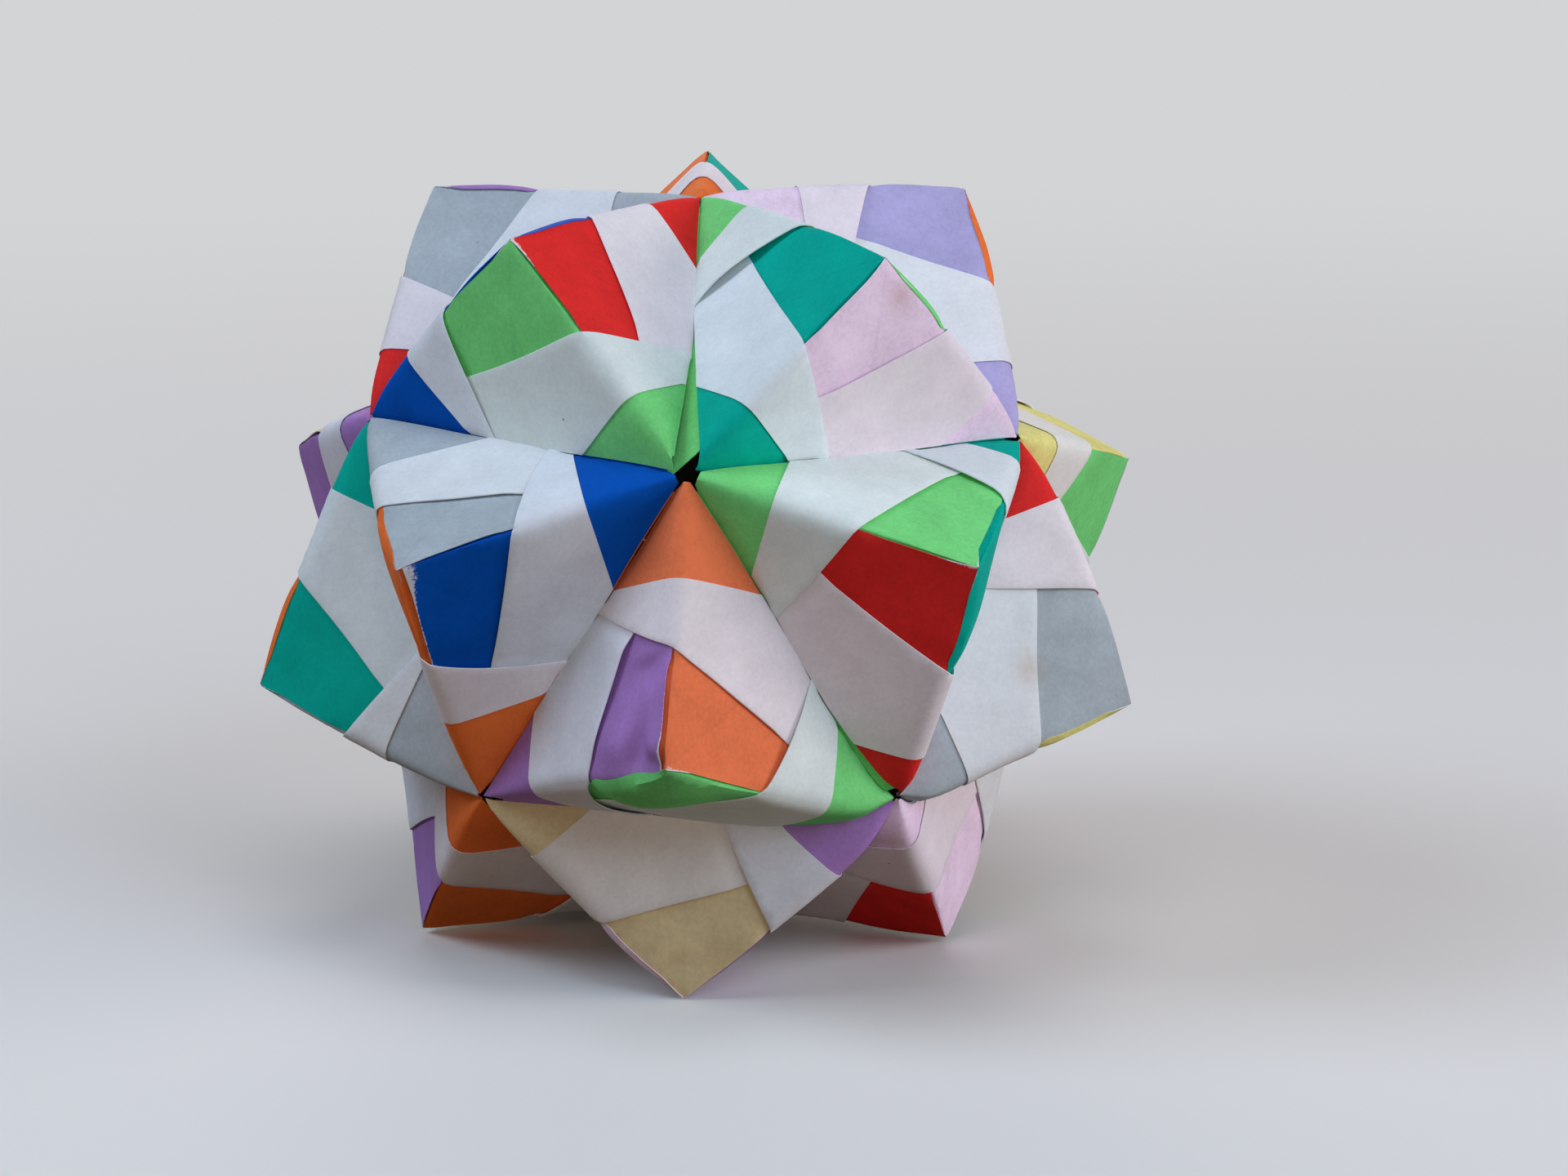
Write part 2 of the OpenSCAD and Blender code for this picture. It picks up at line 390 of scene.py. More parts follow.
def trueEyes():
    turn = 360 / ball["aroundEye"]
    reach = valley * math.sin(math.radians(turn))
    ringZ = reach / math.sqrt(5)
    ringR = 2 * ringZ
    found = {"top": Vector((0, 0, reach)), "bottom": Vector((0, 0, -reach))}
    for k in range(ball["aroundEye"]):
        for ring, turns, z in (("upper", k, ringZ), ("lower", k + 0.5, -ringZ)):
            angle = math.radians(turns * turn - 90)     # the first upper eye looks to the front
            found[f"{ring}{k + 1}"] = Vector((ringR * math.cos(angle), ringR * math.sin(angle), z))
    return found


eyes = trueEyes()


def labelOf(names):
    return " ".join(sorted(names, key=lambda n: (n != "top" and n != "bottom", n)))


def placed(names):
    # real place of an eye (one name) or of the point over three eyes, in metres
    if len(names) == 1:
        spot = eyes[names[0]].copy()
    else:
        spot = sum((eyes[n] for n in names), Vector()) / 3
        spot *= 1 + ridge / math.sqrt(3) / spot.length
    spot += Vector(ball["stray"].get(labelOf(names), (0, 0, 0)))
    return (spot + Vector((0, 0, ball["centreHeight"]))) * mm


def thirdEye(a, b, side):
    # the eye that makes a face with a and b on one side of their valley
    middle = eyes[a] + eyes[b]
    across = middle.cross(eyes[b] - eyes[a]) * (1 if side == 0 else -1)
    near = [n for n in eyes if n not in (a, b)
            and all(abs((eyes[n] - eyes[e]).length - valley) < ball["nearly"] for e in (a, b))]
    return max(near, key=lambda n: eyes[n].dot(across))


# One folded unit. Sizes in mm; each unit's own numbers are in the table further down. Most pairs are
# stretches, from where something begins to where it is done.
unit = {
    "paper": 0.07,            # thickness
    "spacing": 0.8,           # mesh size
    # back wall
    "backDepth": -0.34,       # under the face
    "backInset": 0.9,         # it stops this far from the other ridge
    "backReach": 0.3,         # it runs this far past the face to the valley's foot
    "backSpread": 0.0,        # and this much further at the other eye
    "backCorner": (2.0, 1.7),  # cut off its corner there, along the ridge and along the valley
    "backLeast": 0.4,         # least width at its own eye
    "backRun": (-3.0, 0.0),   # it makes room for the tab over this stretch before its mouth
    "footRise": 0.10,         # it comes up again this much
    "footRun": (-2.5, -0.3),  # before the valley
    "eyeInset": 2.0,          # back wall and tab end this far before the eye
    # tab
    "tabDepth": -0.15,        # at the point
    "underCover": -0.07,      # further down where it lies under its own cover
    "coverRun": (-3.0, -0.3),
    "inPocket": -0.18,        # further down where it is in the neighbour's pocket
    "pocketRun": (-2.5, 0.3),
    "ridgeRun": (-0.15, 0.35),  # across the ridge, tab turns into back wall
    "tabShort": -0.07,        # the flap on it stops this far from the valley, or runs past it if below 0
    "endInset": 0.35,         # the tab itself stops this much sooner
    "tabTilt": 0.0,           # both stop this much shorter still at the eye
    "tiltFrom": 0.414,        # where that begins, as a share of the ridge
    "ridgeClear": 0.12,       # and never nearer to the ridge than this
    "hidden": 1.0,            # inside the neighbour's pocket it stops this far from the valley
    "pocketStep": (0.4, 1.1),  # it narrows to that here, past the neighbour's mouth
    "hiddenInset": 0.5,       # and keeps this far from the neighbour's ridge there
    "entryRun": 1.0,          # its edge starts inward this far before the pocket
    "cornerCut": 4.0,         # cut off its hidden corner, along the ridge and up
    "cornerRise": 2.4,
    "sliver": 0.3,            # strip of the neighbour's fold that a tab leaves bare, or runs past if below 0
    "tipInset": 0.12,         # the same at the point
    "tipRun": 3.0,            # from the one to the other
    "pointHalf": 0.25,        # half the flat at the point
    "pointInset": 0.3,        # the back wall starts at least this far below it
    "edgeLift": 0.14,         # how far the tab's edge stands up at the neighbour's ridge
    "edgeFall": 1.5,          # how soon that is gone
    "puff": 0.0,              # how far the tab swells out at the point
    "puffShape": (0.8, 0.45),  # roundness of that, across and along
    "puffPeak": 1.8,          # brings its top to 1
    # cover and flap
    "coverDepth": -0.10,      # of the printed cover under the face
    "foldGap": 0.03,          # between the flap and the cover that it lies on
    "valleyTurn": -0.30,      # the cover turns down this far at the valley, where it joins the back wall
    "turnRun": (-0.8, 0.0),   # before the valley
    "turnFrom": (0.4, 1.8),   # and past the mouth
    "valleyTuck": 0.5,        # it runs on this far under the other face
    "tuckFrom": 0.5,          # from this far past the raw edge
    "tuckShort": 0.8,         # to this far before the eye's corner
    "faceTilt": 0.0,          # the cover stops this far short of the valley at its eye
    "tipFace": 0.4,           # corners stop this far from the eye
    "tipTab": 0.4,
    "rawEdge": 0.707,         # the flap's raw edge, as a share of the ridge
    "rawRise": 0.04,          # how far it stands up
    "rawRun": 2.0,
    "mouthShift": 0.0,        # the mouth was folded this much nearer to the eye
    "nextShift": 0.0,         # the same of the pocket that the tab is in
    "mouthLift": 0.25,        # how far a pocket's mouth stands open
    "mouthSkew": 1.0,         # above 1 it opens most past its middle, toward the valley
    "foldLift": 0.12,         # the same on the tab's side
    "mouthFall": 3.0,         # how soon that is gone
    "faceBow": 0.0,           # bow of the mouth toward the eye
    "tabBow": 0.0,
    "bowFall": 4.0,
    "turnSteps": 4,           # faces around the turn at the mouth
    # wear
    "rub": 0.03,              # reach of the wear along the tab's edge
    "tipRub": 0.3,            # and around the point
    "tipSpread": 6.0,         # square mm, how wide that is
    "eyeWear": 0.25,          # the cover's corner is rubbed from this far before the eye
    "rimLeast": 0.05,         # least and most distance from an edge that counts
    "unworn": 9.0,
    "wearPast": 1.0,          # the tab's wear goes on this far past its own mouth
    "fade": 0.0,              # how far a lit half is drawn paler and bluer as painted sheen, up to 1
    "stains": (),             # x, q, radius and strength of each
    # ridges and faces
    "ridgeRound": 1.5,        # half the width of a ridge's bend where it is roundest
    "leastRound": 0.25,       # and at the point
    "roundRise": (0.15, 0.55),  # it gets round here, as shares of the ridge
    "roundFall": (0.7, 1.0),  # and sharper again here
    "eyeRound": 0.35,         # down to this share
    "bulge": 0.35,            # how far a face swells out at its middle
    "crumple": 0.5,           # unevenness, from low to high
    "crumpleSize": 11.0,
    "crumpleDetail": 2.0,
    "crumpleRoughness": 0.4,
    "crumpleSeed": 3.0,
    "sharpAngle": 38,         # degrees from which an edge is shaded sharp
    "weld": 0.0005,           # spots nearer than this are one
}
# how an outline is filled with mesh, in mm
filling = {
    "fromEdge": 0.45,         # inner spots keep this share of the mesh size from edges and creases
    "fromCrease": 0.4,
    "creaseSide": 0.3,        # lines on both sides of the ridge
    "creaseStart": 0.05,      # how far they keep from the back wall's start and the tab's end
    "creaseStop": 0.15,
    "clear": 0.1,             # least distance between corners
    "onLine": 1e-3,           # spots this near to the mouth are on it
    "slack": 1e-5,            # spots this near to each other are one
}


def fillOutline(outline, creases, spacing):
    # even triangles inside an outline, with edges along the creases
    points = []
    corners = np.array(outline)
    nexts = np.roll(corners, -1, axis=0)
    for a, b in zip(corners, nexts):
        parts = max(1, math.ceil(np.linalg.norm(b - a) / spacing))
        points += [Vector(a + (b - a) * j / parts) for j in range(parts)]
    edges = [(i, (i + 1) % len(points)) for i in range(len(points))]
    for x, low, high in creases:
        parts = max(1, math.ceil((high - low) / spacing))
        start = len(points)
        points += [Vector((x, low + (high - low) * j / parts)) for j in range(parts + 1)]
        edges += [(start + j, start + j + 1) for j in range(parts)]
    left, low = corners.min(axis=0)
    right, high = corners.max(axis=0)
    rowStep = spacing * math.sqrt(3) / 2
    grid = np.array([(left + (column + 0.5 * (row % 2)) * spacing, low + row * rowStep)
                     for row in range(int((high - low) / rowStep) + 1)
                     for column in range(int((right - left) / spacing) + 2)])
    inside = np.zeros(len(grid), bool)
    clear = np.ones(len(grid), bool)
    for a, b in zip(corners, nexts):
        rising = (a[1] > grid[:, 1]) != (b[1] > grid[:, 1])
        slope = (b[0] - a[0]) / (b[1] - a[1]) if b[1] != a[1] else 0.0
        inside ^= rising & (grid[:, 0] < a[0] + slope * (grid[:, 1] - a[1]))
        share = np.clip((grid - a) @ (b - a) / ((b - a) @ (b - a)), 0, 1)
        distance = np.linalg.norm(grid - a - share[:, None] * (b - a), axis=1)
        clear &= distance > filling["fromEdge"] * spacing
    for x, _, _ in creases:
        clear &= abs(grid[:, 0] - x) > filling["fromCrease"] * spacing
    points += [Vector(spot) for spot in grid[inside & clear]]
    found = delaunay_2d_cdt(points, edges, [], 1, filling["slack"])
    return [tuple(v) for v in found[0]], [tuple(f) for f in found[2]]


def halfSheet(own):
    # the flat crease pattern of half a unit: x across the ridge (face +, tab -), q along it, and depth
    slope = math.tan(mouthAngle)
    nearEye = (1 - slope) * ridge      # from here on a face may stop short of the valley
    tabReach = ridge - own["tabShort"]
    tiltStart = own["tiltFrom"] * ridge
    lean = own["tabTilt"] / (ridge - tiltStart)
    raw = own["rawEdge"] * ridge
    shift, nextShift = own["mouthShift"], own["nextShift"]
    tip = (tabReach - slope * ridge - shift) / (1 - slope)    # where the mouth meets the tab's end
    inset, sliver, hidden = own["tipInset"], own["sliver"], own["hidden"]
    ridgeClear, tipRun = own["ridgeClear"], own["tipRun"]
    mouthEnd = (2 * slope * ridge + shift) / (1 + slope)      # where the mouth meets the valley
    corner = (ridge - mouthEnd, mouthEnd)
    pocketEnd = (nearEye - nextShift) / (1 + slope)   # where the neighbour's mouth does
    stepStart, stepEnd = [pocketEnd - step for step in own["pocketStep"]]
    vertices, faces, cuts, rims = [], [], [], []

    def mouth(x):
        return slope * (ridge + x) + shift

    def tabEnd(q):
        return min(q - tabReach + lean * max(0.0, q - tiltStart), -ridgeClear)

    def edgeAt(x):
        # the tab's edge along the neighbour's ridge
        return inset + (sliver - inset) * min(1.0, -x / tipRun)

    def pocketDip(x, q):
        # how far a spot of the tab is inside the neighbour's pocket
        return smoothStep(*own["pocketRun"], -x - slope * (ridge + q) - nextShift) if x < 0 else 0.0

    def bare(x, q):
        # up to 1 in the middle of the tab's bare part, 0 at its edges, its flap and the neighbour's pocket
        acrossPower, alongPower = own["puffShape"]
        across = min(1.0, max(0.0, -x / (slope * (ridge + max(q, 0.0)))))
        along = min(1.0, max(0.0, q / mouth(x)))
        swell = math.sin(math.pi * across) ** acrossPower * own["puffPeak"]
        return swell * along ** alongPower * (1 - along * along)

    def bodyDepth(x, q):
        toMouth = q - mouth(x)
        tab = own["tabDepth"] + own["underCover"] * smoothStep(*own["coverRun"], toMouth)
        tab += own["inPocket"] * pocketDip(x, q)
        if x < 0:
            stand = math.exp(-max(q - sliver, 0.0) / own["edgeFall"]) * smoothStep(0.0, own["edgeFall"], -x)
            tab += own["puff"] * bare(x, q) + own["edgeLift"] * stand * (1 - pocketDip(x, q))
        back = own["backDepth"] + own["inPocket"] * smoothStep(*own["backRun"], toMouth)
        back += own["footRise"] * smoothStep(*own["footRun"], x + q - ridge)
        return tab + (back - tab) * smoothStep(*own["ridgeRun"], x)

    def coverDepth(x, q):
        away = max(q - mouth(x), 0.0)
        turnDown = 0.0
        if x >= 0:
            lift = own["mouthLift"] * math.sin(math.pi * min(1.0, x / corner[0]) ** own["mouthSkew"])
            turnDown = own["valleyTurn"] * smoothStep(*own["turnRun"], x + q + short(q) - ridge)
            turnDown *= smoothStep(*own["turnFrom"], away)
        else:
            lift = own["foldLift"] * math.sin(math.pi * min(1.0, -x / tip)) * (1 - pocketDip(x, q))
        depth = own["coverDepth"] + own["inPocket"] * pocketDip(x, q)
        return depth + max(lift, 0.0) * math.exp(-away / own["mouthFall"]) + turnDown

    def short(q):
        # how far the face stops short of the valley
        return own["faceTilt"] * max(0.0, q - nearEye) / (slope * ridge)

    def bowed(x, q):
        # mouths aren't quite straight
        share, bow = (x / corner[0], own["faceBow"]) if x >= 0 else (-x / tip, own["tabBow"])
        push = bow * math.sin(math.pi * min(1.0, share)) * math.exp(-max(q - mouth(x), 0.0) / own["bowFall"])
        return x - push * math.sin(mouthAngle), q + push * math.cos(mouthAngle)

    def crease(lowAt, high):
        # lines along the ridge, short of the tab's slanting end
        end = tabReach - own["endInset"] - filling["creaseStop"] + lean * tiltStart
        beside = filling["creaseSide"]
        return [(x, lowAt(x), min(high, (end + min(x, 0.0)) / (1 + lean))) for x in (-beside, 0.0, beside)]

    def alongMouth(spots, start):
        # the vertices on the mouth, from the tab to the face
        found = [i + start for i, (x, q) in enumerate(spots) if abs(q - mouth(x)) < filling["onLine"]]
        return sorted(found, key=lambda i: cuts[i][0])

    # back wall and tab in one piece, folded at the ridge
    bodyTop = ridge - own["eyeInset"]
    bodyReach = ridge + own["backReach"]
    bodyStart = max(inset, own["pointInset"])
    outer = slope * (ridge + sliver)     # where the neighbour's pocket begins along its ridge
    low, rise = own["hiddenInset"], own["cornerRise"]
    cutRidge, cutValley = own["backCorner"]
    outline = [
        (tabEnd(rise) + hidden, rise), (own["cornerCut"] - ridge, low), (-outer - low, low),
        (own["entryRun"] - outer, sliver), (-tipRun, sliver),
        (-own["pointHalf"], inset), (own["pointHalf"], bodyStart), (ridge - cutRidge, own["backInset"]),
        (bodyReach - cutValley + own["backSpread"], cutValley), (bodyReach - nearEye, nearEye),
        (max(bodyReach - bodyTop - short(bodyTop), own["backLeast"]), bodyTop),
        (min(tabEnd(bodyTop) + own["endInset"], -ridgeClear), bodyTop)]
    if lean > 0:
        outline.append((tabEnd(tiltStart) + own["endInset"], tiltStart))
    outline += [(tabEnd(stepStart) + own["endInset"], stepStart), (tabEnd(stepEnd) + hidden, stepEnd)]
    start = bodyStart + filling["creaseStart"]
    spots, triangles = fillOutline(outline, crease(lambda x: start, bodyTop), own["spacing"])
    for x, q in spots:
        vertices.append((x, q, bodyDepth(x, q)))
        cuts.append((x, q, sheetLayer["body"]))
        onTab = x < filling["creaseSide"] and q < mouth(x) + own["wearPast"]
        rim = max(own["rimLeast"], min(q - edgeAt(x), own["unworn"]))
        rims.append(rim if onTab else own["unworn"])
    faces += [tuple(reversed(t)) for t in triangles]

    # pocket cover with its flap turned over at the mouth
    coverStart = len(vertices)
    tipCut = ridge - own["cornerCut"]
    faceTop, tabTop = ridge - own["tipFace"], ridge - own["tipTab"]
    tipLeft = max(-tabEnd(tabTop), ridgeClear)
    tabSide = [(tabEnd(stepStart), stepStart), (tabEnd(stepEnd) + hidden, stepEnd), (-tipCut, mouth(-tipCut))]
    tilted = [(tabEnd(tiltStart), tiltStart)] if lean > 0 else []
    tuckLow = raw + own["tuckFrom"]
    tuckTop = faceTop - own["faceTilt"] - own["tuckShort"]
    mouthSide = [corner, (ridge - raw - short(raw), raw)]
    outline = mouthSide + [
        (ridge - raw - own["tuckFrom"] - short(tuckLow) + own["valleyTuck"], tuckLow),
        (ridge - tuckTop - short(tuckTop) + own["valleyTuck"], tuckTop),
        (own["tipFace"], faceTop - own["faceTilt"]), (-tipLeft, tabTop)]
    endAtRidge = (tabReach - ridgeClear + lean * tiltStart) / (1 + lean)
    if endAtRidge < tabTop - filling["clear"]:
        outline.append((-ridgeClear, endAtRidge))
    top = ridge - max(own["tipFace"], own["tipTab"]) - filling["clear"]
    spots, triangles = fillOutline(outline + tilted + tabSide, crease(mouth, top), own["spacing"])
    for x, q in spots:
        vertices.append((*bowed(x, q), coverDepth(x, q)))
        cuts.append((x, q, sheetLayer["cover"]))
        rims.append(max(0.0, ridge - own["eyeWear"] - q))
    faces += [tuple(coverStart + i for i in reversed(t)) for t in triangles]
    onCover = alongMouth(spots, coverStart)

    flapStart = len(vertices)
    outline = mouthSide + [(tabEnd(raw), raw)]
    if tiltStart < raw - 2 * filling["clear"]:
        outline += tilted
    spots, triangles = fillOutline(outline + tabSide, crease(mouth, raw), own["spacing"])
    for x, q in spots:
        lift = own["foldGap"] + own["rawRise"] * smoothStep(raw - own["rawRun"], raw, q)
        vertices.append((*bowed(x, q), coverDepth(x, q) + lift))
        cuts.append((x, q, sheetLayer["flap"]))
        rims.append(own["unworn"])
    faces += [tuple(flapStart + i for i in t) for t in triangles]
    onFlap = alongMouth(spots, flapStart)

    # the turn at the mouth, a half round between cover and flap
    towardEye = Vector((-math.sin(mouthAngle), math.cos(mouthAngle)))
    rows = [onCover]
    for j in range(1, own["turnSteps"]):
        turn = math.pi * (j / own["turnSteps"] - 0.5)
        row = []
        for low, high in zip(onCover, onFlap):
            a, b = Vector(vertices[low]), Vector(vertices[high])
            radius = (b.z - a.z) / 2
            out = -radius * math.cos(turn)
            row.append(len(vertices))
            vertices.append((a.x + towardEye.x * out, a.y + towardEye.y * out,
                             (a.z + b.z) / 2 + radius * math.sin(turn)))
            cuts.append((cuts[low][0], cuts[low][1], sheetLayer["flap"]))
            rims.append(own["unworn"])
        rows.append(row)
    rows.append(onFlap)
    for lower, upper in zip(rows, rows[1:]):
        for i in range(len(lower) - 1):
            faces.append((lower[i], lower[i + 1], upper[i + 1], upper[i]))
    return vertices, faces, cuts, rims


def cutSheet(name, sides):
    vertices, faces, cuts = [], [], []
    marks = {"half": [], "rim": [], "rub": [], "stain": [], "fade": []}
    for half, own in enumerate(sides):
        start = len(vertices)
        spots, polygons, places, rims = halfSheet(own)
        vertices += [(x * mm, q * mm, z * mm) for x, q, z in spots]
        faces += [tuple(start + i for i in polygon) for polygon in polygons]
        cuts += places
        marks["half"] += [float(half)] * len(spots)
        marks["rim"] += rims
        # fade: painted sheen, for the halves drawn paler where they are lit
        marks["fade"] += [own["fade"]] * len(spots)
        for x, q, _ in places:
            atTip = math.exp(-(x * x + q * q) / own["tipSpread"])
            marks["rub"].append(own["rub"] + (own["tipRub"] - own["rub"]) * atTip)
            marks["stain"].append(sum(
                strength * math.exp(-((x - sx) ** 2 + (q - sq) ** 2) / (2 * radius ** 2))
                for sx, sq, radius, strength in own["stains"]))
    mesh = bpy.data.meshes.new(name)
    mesh.from_pydata(vertices, [], faces)
    flat = mesh.attributes.new("cut", "FLOAT_VECTOR", "POINT")
    flat.data.foreach_set("vector", [c for place in cuts for c in place])
    for label, values in marks.items():
        mesh.attributes.new(label, "FLOAT", "POINT").data.foreach_set("value", values)
    return mesh


def makeFoldTree():
    # bends the flat pattern over its ridge onto two faces, crumples it and gives it a second side
    tree = bpy.data.node_groups.new("foldSheet", "GeometryNodeTree")
    sockets = {
        "Geometry": ["Flat Sheet"],
        "Vector": ["Apex A", "Apex B", "Eye A", "Eye B", "Third Eye A", "Third Eye B"],
        "Float": ["Ridge", "Ridge Round", "Bulge", "Crumple", "Crumple Size", "Seed", "Paper"],
        "Material": ["Printed Side", "White Side"],
    }
    for kind, labels in sockets.items():
        for label in labels:
            tree.interface.new_socket(label, in_out="INPUT", socket_type="NodeSocket" + kind)
    tree.interface.new_socket("Folded Sheet", in_out="OUTPUT", socket_type="NodeSocketGeometry")
    given = addNode(tree, "NodeGroupInput").outputs
    mark = addNode(tree, "GeometryNodeInputNamedAttribute", {"Name": "half"}, data_type="FLOAT")
    half = addNode(tree, "FunctionNodeCompare", {0: mark, 1: 0.5}, operation="GREATER_THAN")

    # from the point along the ridge, and along the far ridges of the face and of the tab
    ends = []
    for first, second in (("Apex A", "Apex B"), ("Eye A", "Eye B"), ("Eye B", "Eye A"),
                          ("Third Eye A", "Third Eye B")):
        ends.append(addNode(tree, "GeometryNodeSwitch", {
            0: half, 1: given[first], 2: given[second]}, input_type="VECTOR"))
    apex = ends[0]
    share = addNode(tree, "ShaderNodeMath", {0: 1.0, 1: given["Ridge"]}, operation="DIVIDE")
    legs = []
    for end in ends[1:]:
        leg = addNode(tree, "ShaderNodeVectorMath", {0: end, 1: apex}, operation="SUBTRACT")
        legs.append(addNode(tree, "ShaderNodeVectorMath", {0: leg, "Scale": share}, operation="SCALE"))
    along, faceLeg, tabLeg = legs
    flat = addNode(tree, "ShaderNodeSeparateXYZ", {0: addNode(tree, "GeometryNodeInputPosition")}).outputs
    x, q, z = flat[0], flat[1], flat[2]

    # a ridge is sharp at the point, roundest under the flap and sharper again at the eye; both ridges
    # of a face are rounded alike, so that every layer on it keeps its place
    side = addNode(tree, "ShaderNodeMath", {0: x}, operation="ABSOLUTE")
    riseFrom, riseTo = unit["roundRise"]
    fallFrom, fallTo = unit["roundFall"]
    turns = []
    for distance, offset in ((q, x), (side, q)):
        share = addNode(tree, "ShaderNodeMath", {0: distance, 1: given["Ridge"]}, operation="DIVIDE")
        rising = addNode(tree, "ShaderNodeMapRange", {
            0: share, 1: riseFrom, 2: riseTo}, interpolation_type="SMOOTHSTEP")
        falling = addNode(tree, "ShaderNodeMapRange", {
            0: share, 1: fallFrom, 2: fallTo, 3: 1.0, 4: unit["eyeRound"]}, interpolation_type="SMOOTHSTEP")
        shape = addNode(tree, "ShaderNodeMath", {0: rising, 1: falling}, operation="MULTIPLY")
        soft = addNode(tree, "ShaderNodeMath", {
            0: shape, 1: given["Ridge Round"], 2: unit["leastRound"] * mm}, operation="MULTIPLY_ADD")
        minus = addNode(tree, "ShaderNodeMath", {0: soft, 1: -1.0}, operation="MULTIPLY")
        turn = addNode(tree, "ShaderNodeMapRange", {0: offset, 1: minus, 2: soft})  # 0 to 1 through the bend
        rest = addNode(tree, "ShaderNodeMath", {0: 1.0, 1: turn}, operation="SUBTRACT")
        for part, sign in ((turn, 1.0), (rest, -1.0)):
            curve = addNode(tree, "ShaderNodeMath", {0: part, 1: part}, operation="MULTIPLY")
            curve = addNode(tree, "ShaderNodeMath", {0: curve, 1: soft}, operation="MULTIPLY")
            beyond = offset
            for operation, value in (("MULTIPLY", sign), ("SUBTRACT", soft), ("MAXIMUM", 0.0)):
                beyond = addNode(tree, "ShaderNodeMath", {0: beyond, 1: value}, operation=operation)
            turns.append(addNode(tree, "ShaderNodeMath", {0: curve, 1: beyond}, operation="ADD"))
        turns.append(turn)
    ontoFace, ontoTab, bend, qPulled, farPull, _ = turns
    tabSlope = addNode(tree, "ShaderNodeMath", {0: bend, 1: 1.0}, operation="SUBTRACT")
    acrossFace = addNode(tree, "ShaderNodeVectorMath", {0: faceLeg, "Scale": bend}, operation="SCALE")
    acrossTab = addNode(tree, "ShaderNodeVectorMath", {0: tabLeg, "Scale": tabSlope}, operation="SCALE")
    across = addNode(tree, "ShaderNodeVectorMath", {0: acrossFace, 1: acrossTab}, operation="ADD")
    cross = addNode(tree, "ShaderNodeVectorMath", {0: along, 1: across}, operation="CROSS_PRODUCT")
    outward = addNode(tree, "ShaderNodeVectorMath", {0: cross}, operation="NORMALIZE")

    spot = apex
    for leg, amount in ((along, qPulled), (faceLeg, ontoFace), (tabLeg, ontoTab)):
        step = addNode(tree, "ShaderNodeVectorMath", {0: leg, "Scale": amount}, operation="SCALE")
        spot = addNode(tree, "ShaderNodeVectorMath", {0: spot, 1: step}, operation="ADD")

    # faces swell a little, most at their middle, where q, side and left are each a third of the ridge
    used = addNode(tree, "ShaderNodeMath", {0: q, 1: side}, operation="ADD")
    left = addNode(tree, "ShaderNodeMath", {0: given["Ridge"], 1: used}, operation="SUBTRACT")
    cube = addNode(tree, "ShaderNodeMath", {0: given["Ridge"], 1: 3.0}, operation="POWER")
    swell = q
    steps = (("MULTIPLY", side), ("MULTIPLY", left), ("DIVIDE", cube), ("MULTIPLY", 3.0 ** 3))
    for operation, value in steps:
        swell = addNode(tree, "ShaderNodeMath", {0: swell, 1: value}, operation=operation)
    swell = addNode(tree, "ShaderNodeMath", {0: swell, 1: given["Bulge"], 2: z}, operation="MULTIPLY_ADD")
    scale = addNode(tree, "ShaderNodeMath", {0: 1.0, 1: given["Crumple Size"]}, operation="DIVIDE")
    noise = addNode(tree, "ShaderNodeTexNoise", {
        "Vector": spot, "W": given["Seed"], "Scale": scale, "Detail": unit["crumpleDetail"],
        "Roughness": unit["crumpleRoughness"]}, noise_dimensions="4D")
    uneven = addNode(tree, "ShaderNodeMath", {0: noise, 1: 0.5}, operation="SUBTRACT")
    height = addNode(tree, "ShaderNodeMath", {
        0: uneven, 1: given["Crumple"], 2: swell}, operation="MULTIPLY_ADD")
    height = addNode(tree, "ShaderNodeMath", {0: height, 1: farPull}, operation="SUBTRACT")
    rise = addNode(tree, "ShaderNodeVectorMath", {0: outward, "Scale": height}, operation="SCALE")
    spot = addNode(tree, "ShaderNodeVectorMath", {0: spot, 1: rise}, operation="ADD")
    folded = addNode(tree, "GeometryNodeSetPosition", {"Geometry": given["Flat Sheet"], "Position": spot})

    # second side of the paper and its cut edges
    inward = addNode(tree, "ShaderNodeMath", {0: given["Paper"], 1: -1.0}, operation="MULTIPLY")
    back = addNode(tree, "GeometryNodeExtrudeMesh", {
        "Mesh": folded, "Offset Scale": inward, "Individual": False}, mode="FACES")
    cut = addNode(tree, "GeometryNodeInputNamedAttribute", {"Name": "cut"}, data_type="FLOAT_VECTOR")
    layer = addNode(tree, "ShaderNodeSeparateXYZ", {0: cut}).outputs[2]
    belowFlap = sheetLayer["flap"] - 0.5
    onFlap = addNode(tree, "FunctionNodeCompare", {0: layer, 1: belowFlap}, operation="GREATER_THAN")
    rawEdge = addNode(tree, "FunctionNodeBooleanMath", {0: back.outputs["Side"], 1: onFlap}, operation="AND")
    whites = addNode(tree, "FunctionNodeBooleanMath", {0: back.outputs["Top"], 1: rawEdge}, operation="OR")
    marked = addNode(tree, "GeometryNodeStoreNamedAttribute", {
        "Geometry": back, "Name": "reverse", "Value": whites}, data_type="BOOLEAN", domain="FACE")
    turned = addNode(tree, "GeometryNodeFlipFaces", {"Mesh": marked})
    both = addNode(tree, "GeometryNodeJoinGeometry", {0: turned})
    tree.links.new(folded.outputs[0], both.inputs[0])
    welded = addNode(tree, "GeometryNodeMergeByDistance", {"Geometry": both, "Distance": unit["weld"] * mm})
    real = addNode(tree, "GeometryNodeRealizeInstances", {"Geometry": welded})
    printed = addNode(tree, "GeometryNodeSetMaterial", {"Geometry": real, "Material": given["Printed Side"]})
    isBack = addNode(tree, "GeometryNodeInputNamedAttribute", {"Name": "reverse"}, data_type="BOOLEAN")
    white = addNode(tree, "GeometryNodeSetMaterial", {
        "Geometry": printed, "Selection": isBack, "Material": given["White Side"]})
    addNode(tree, "NodeGroupOutput", {0: white})
    return tree


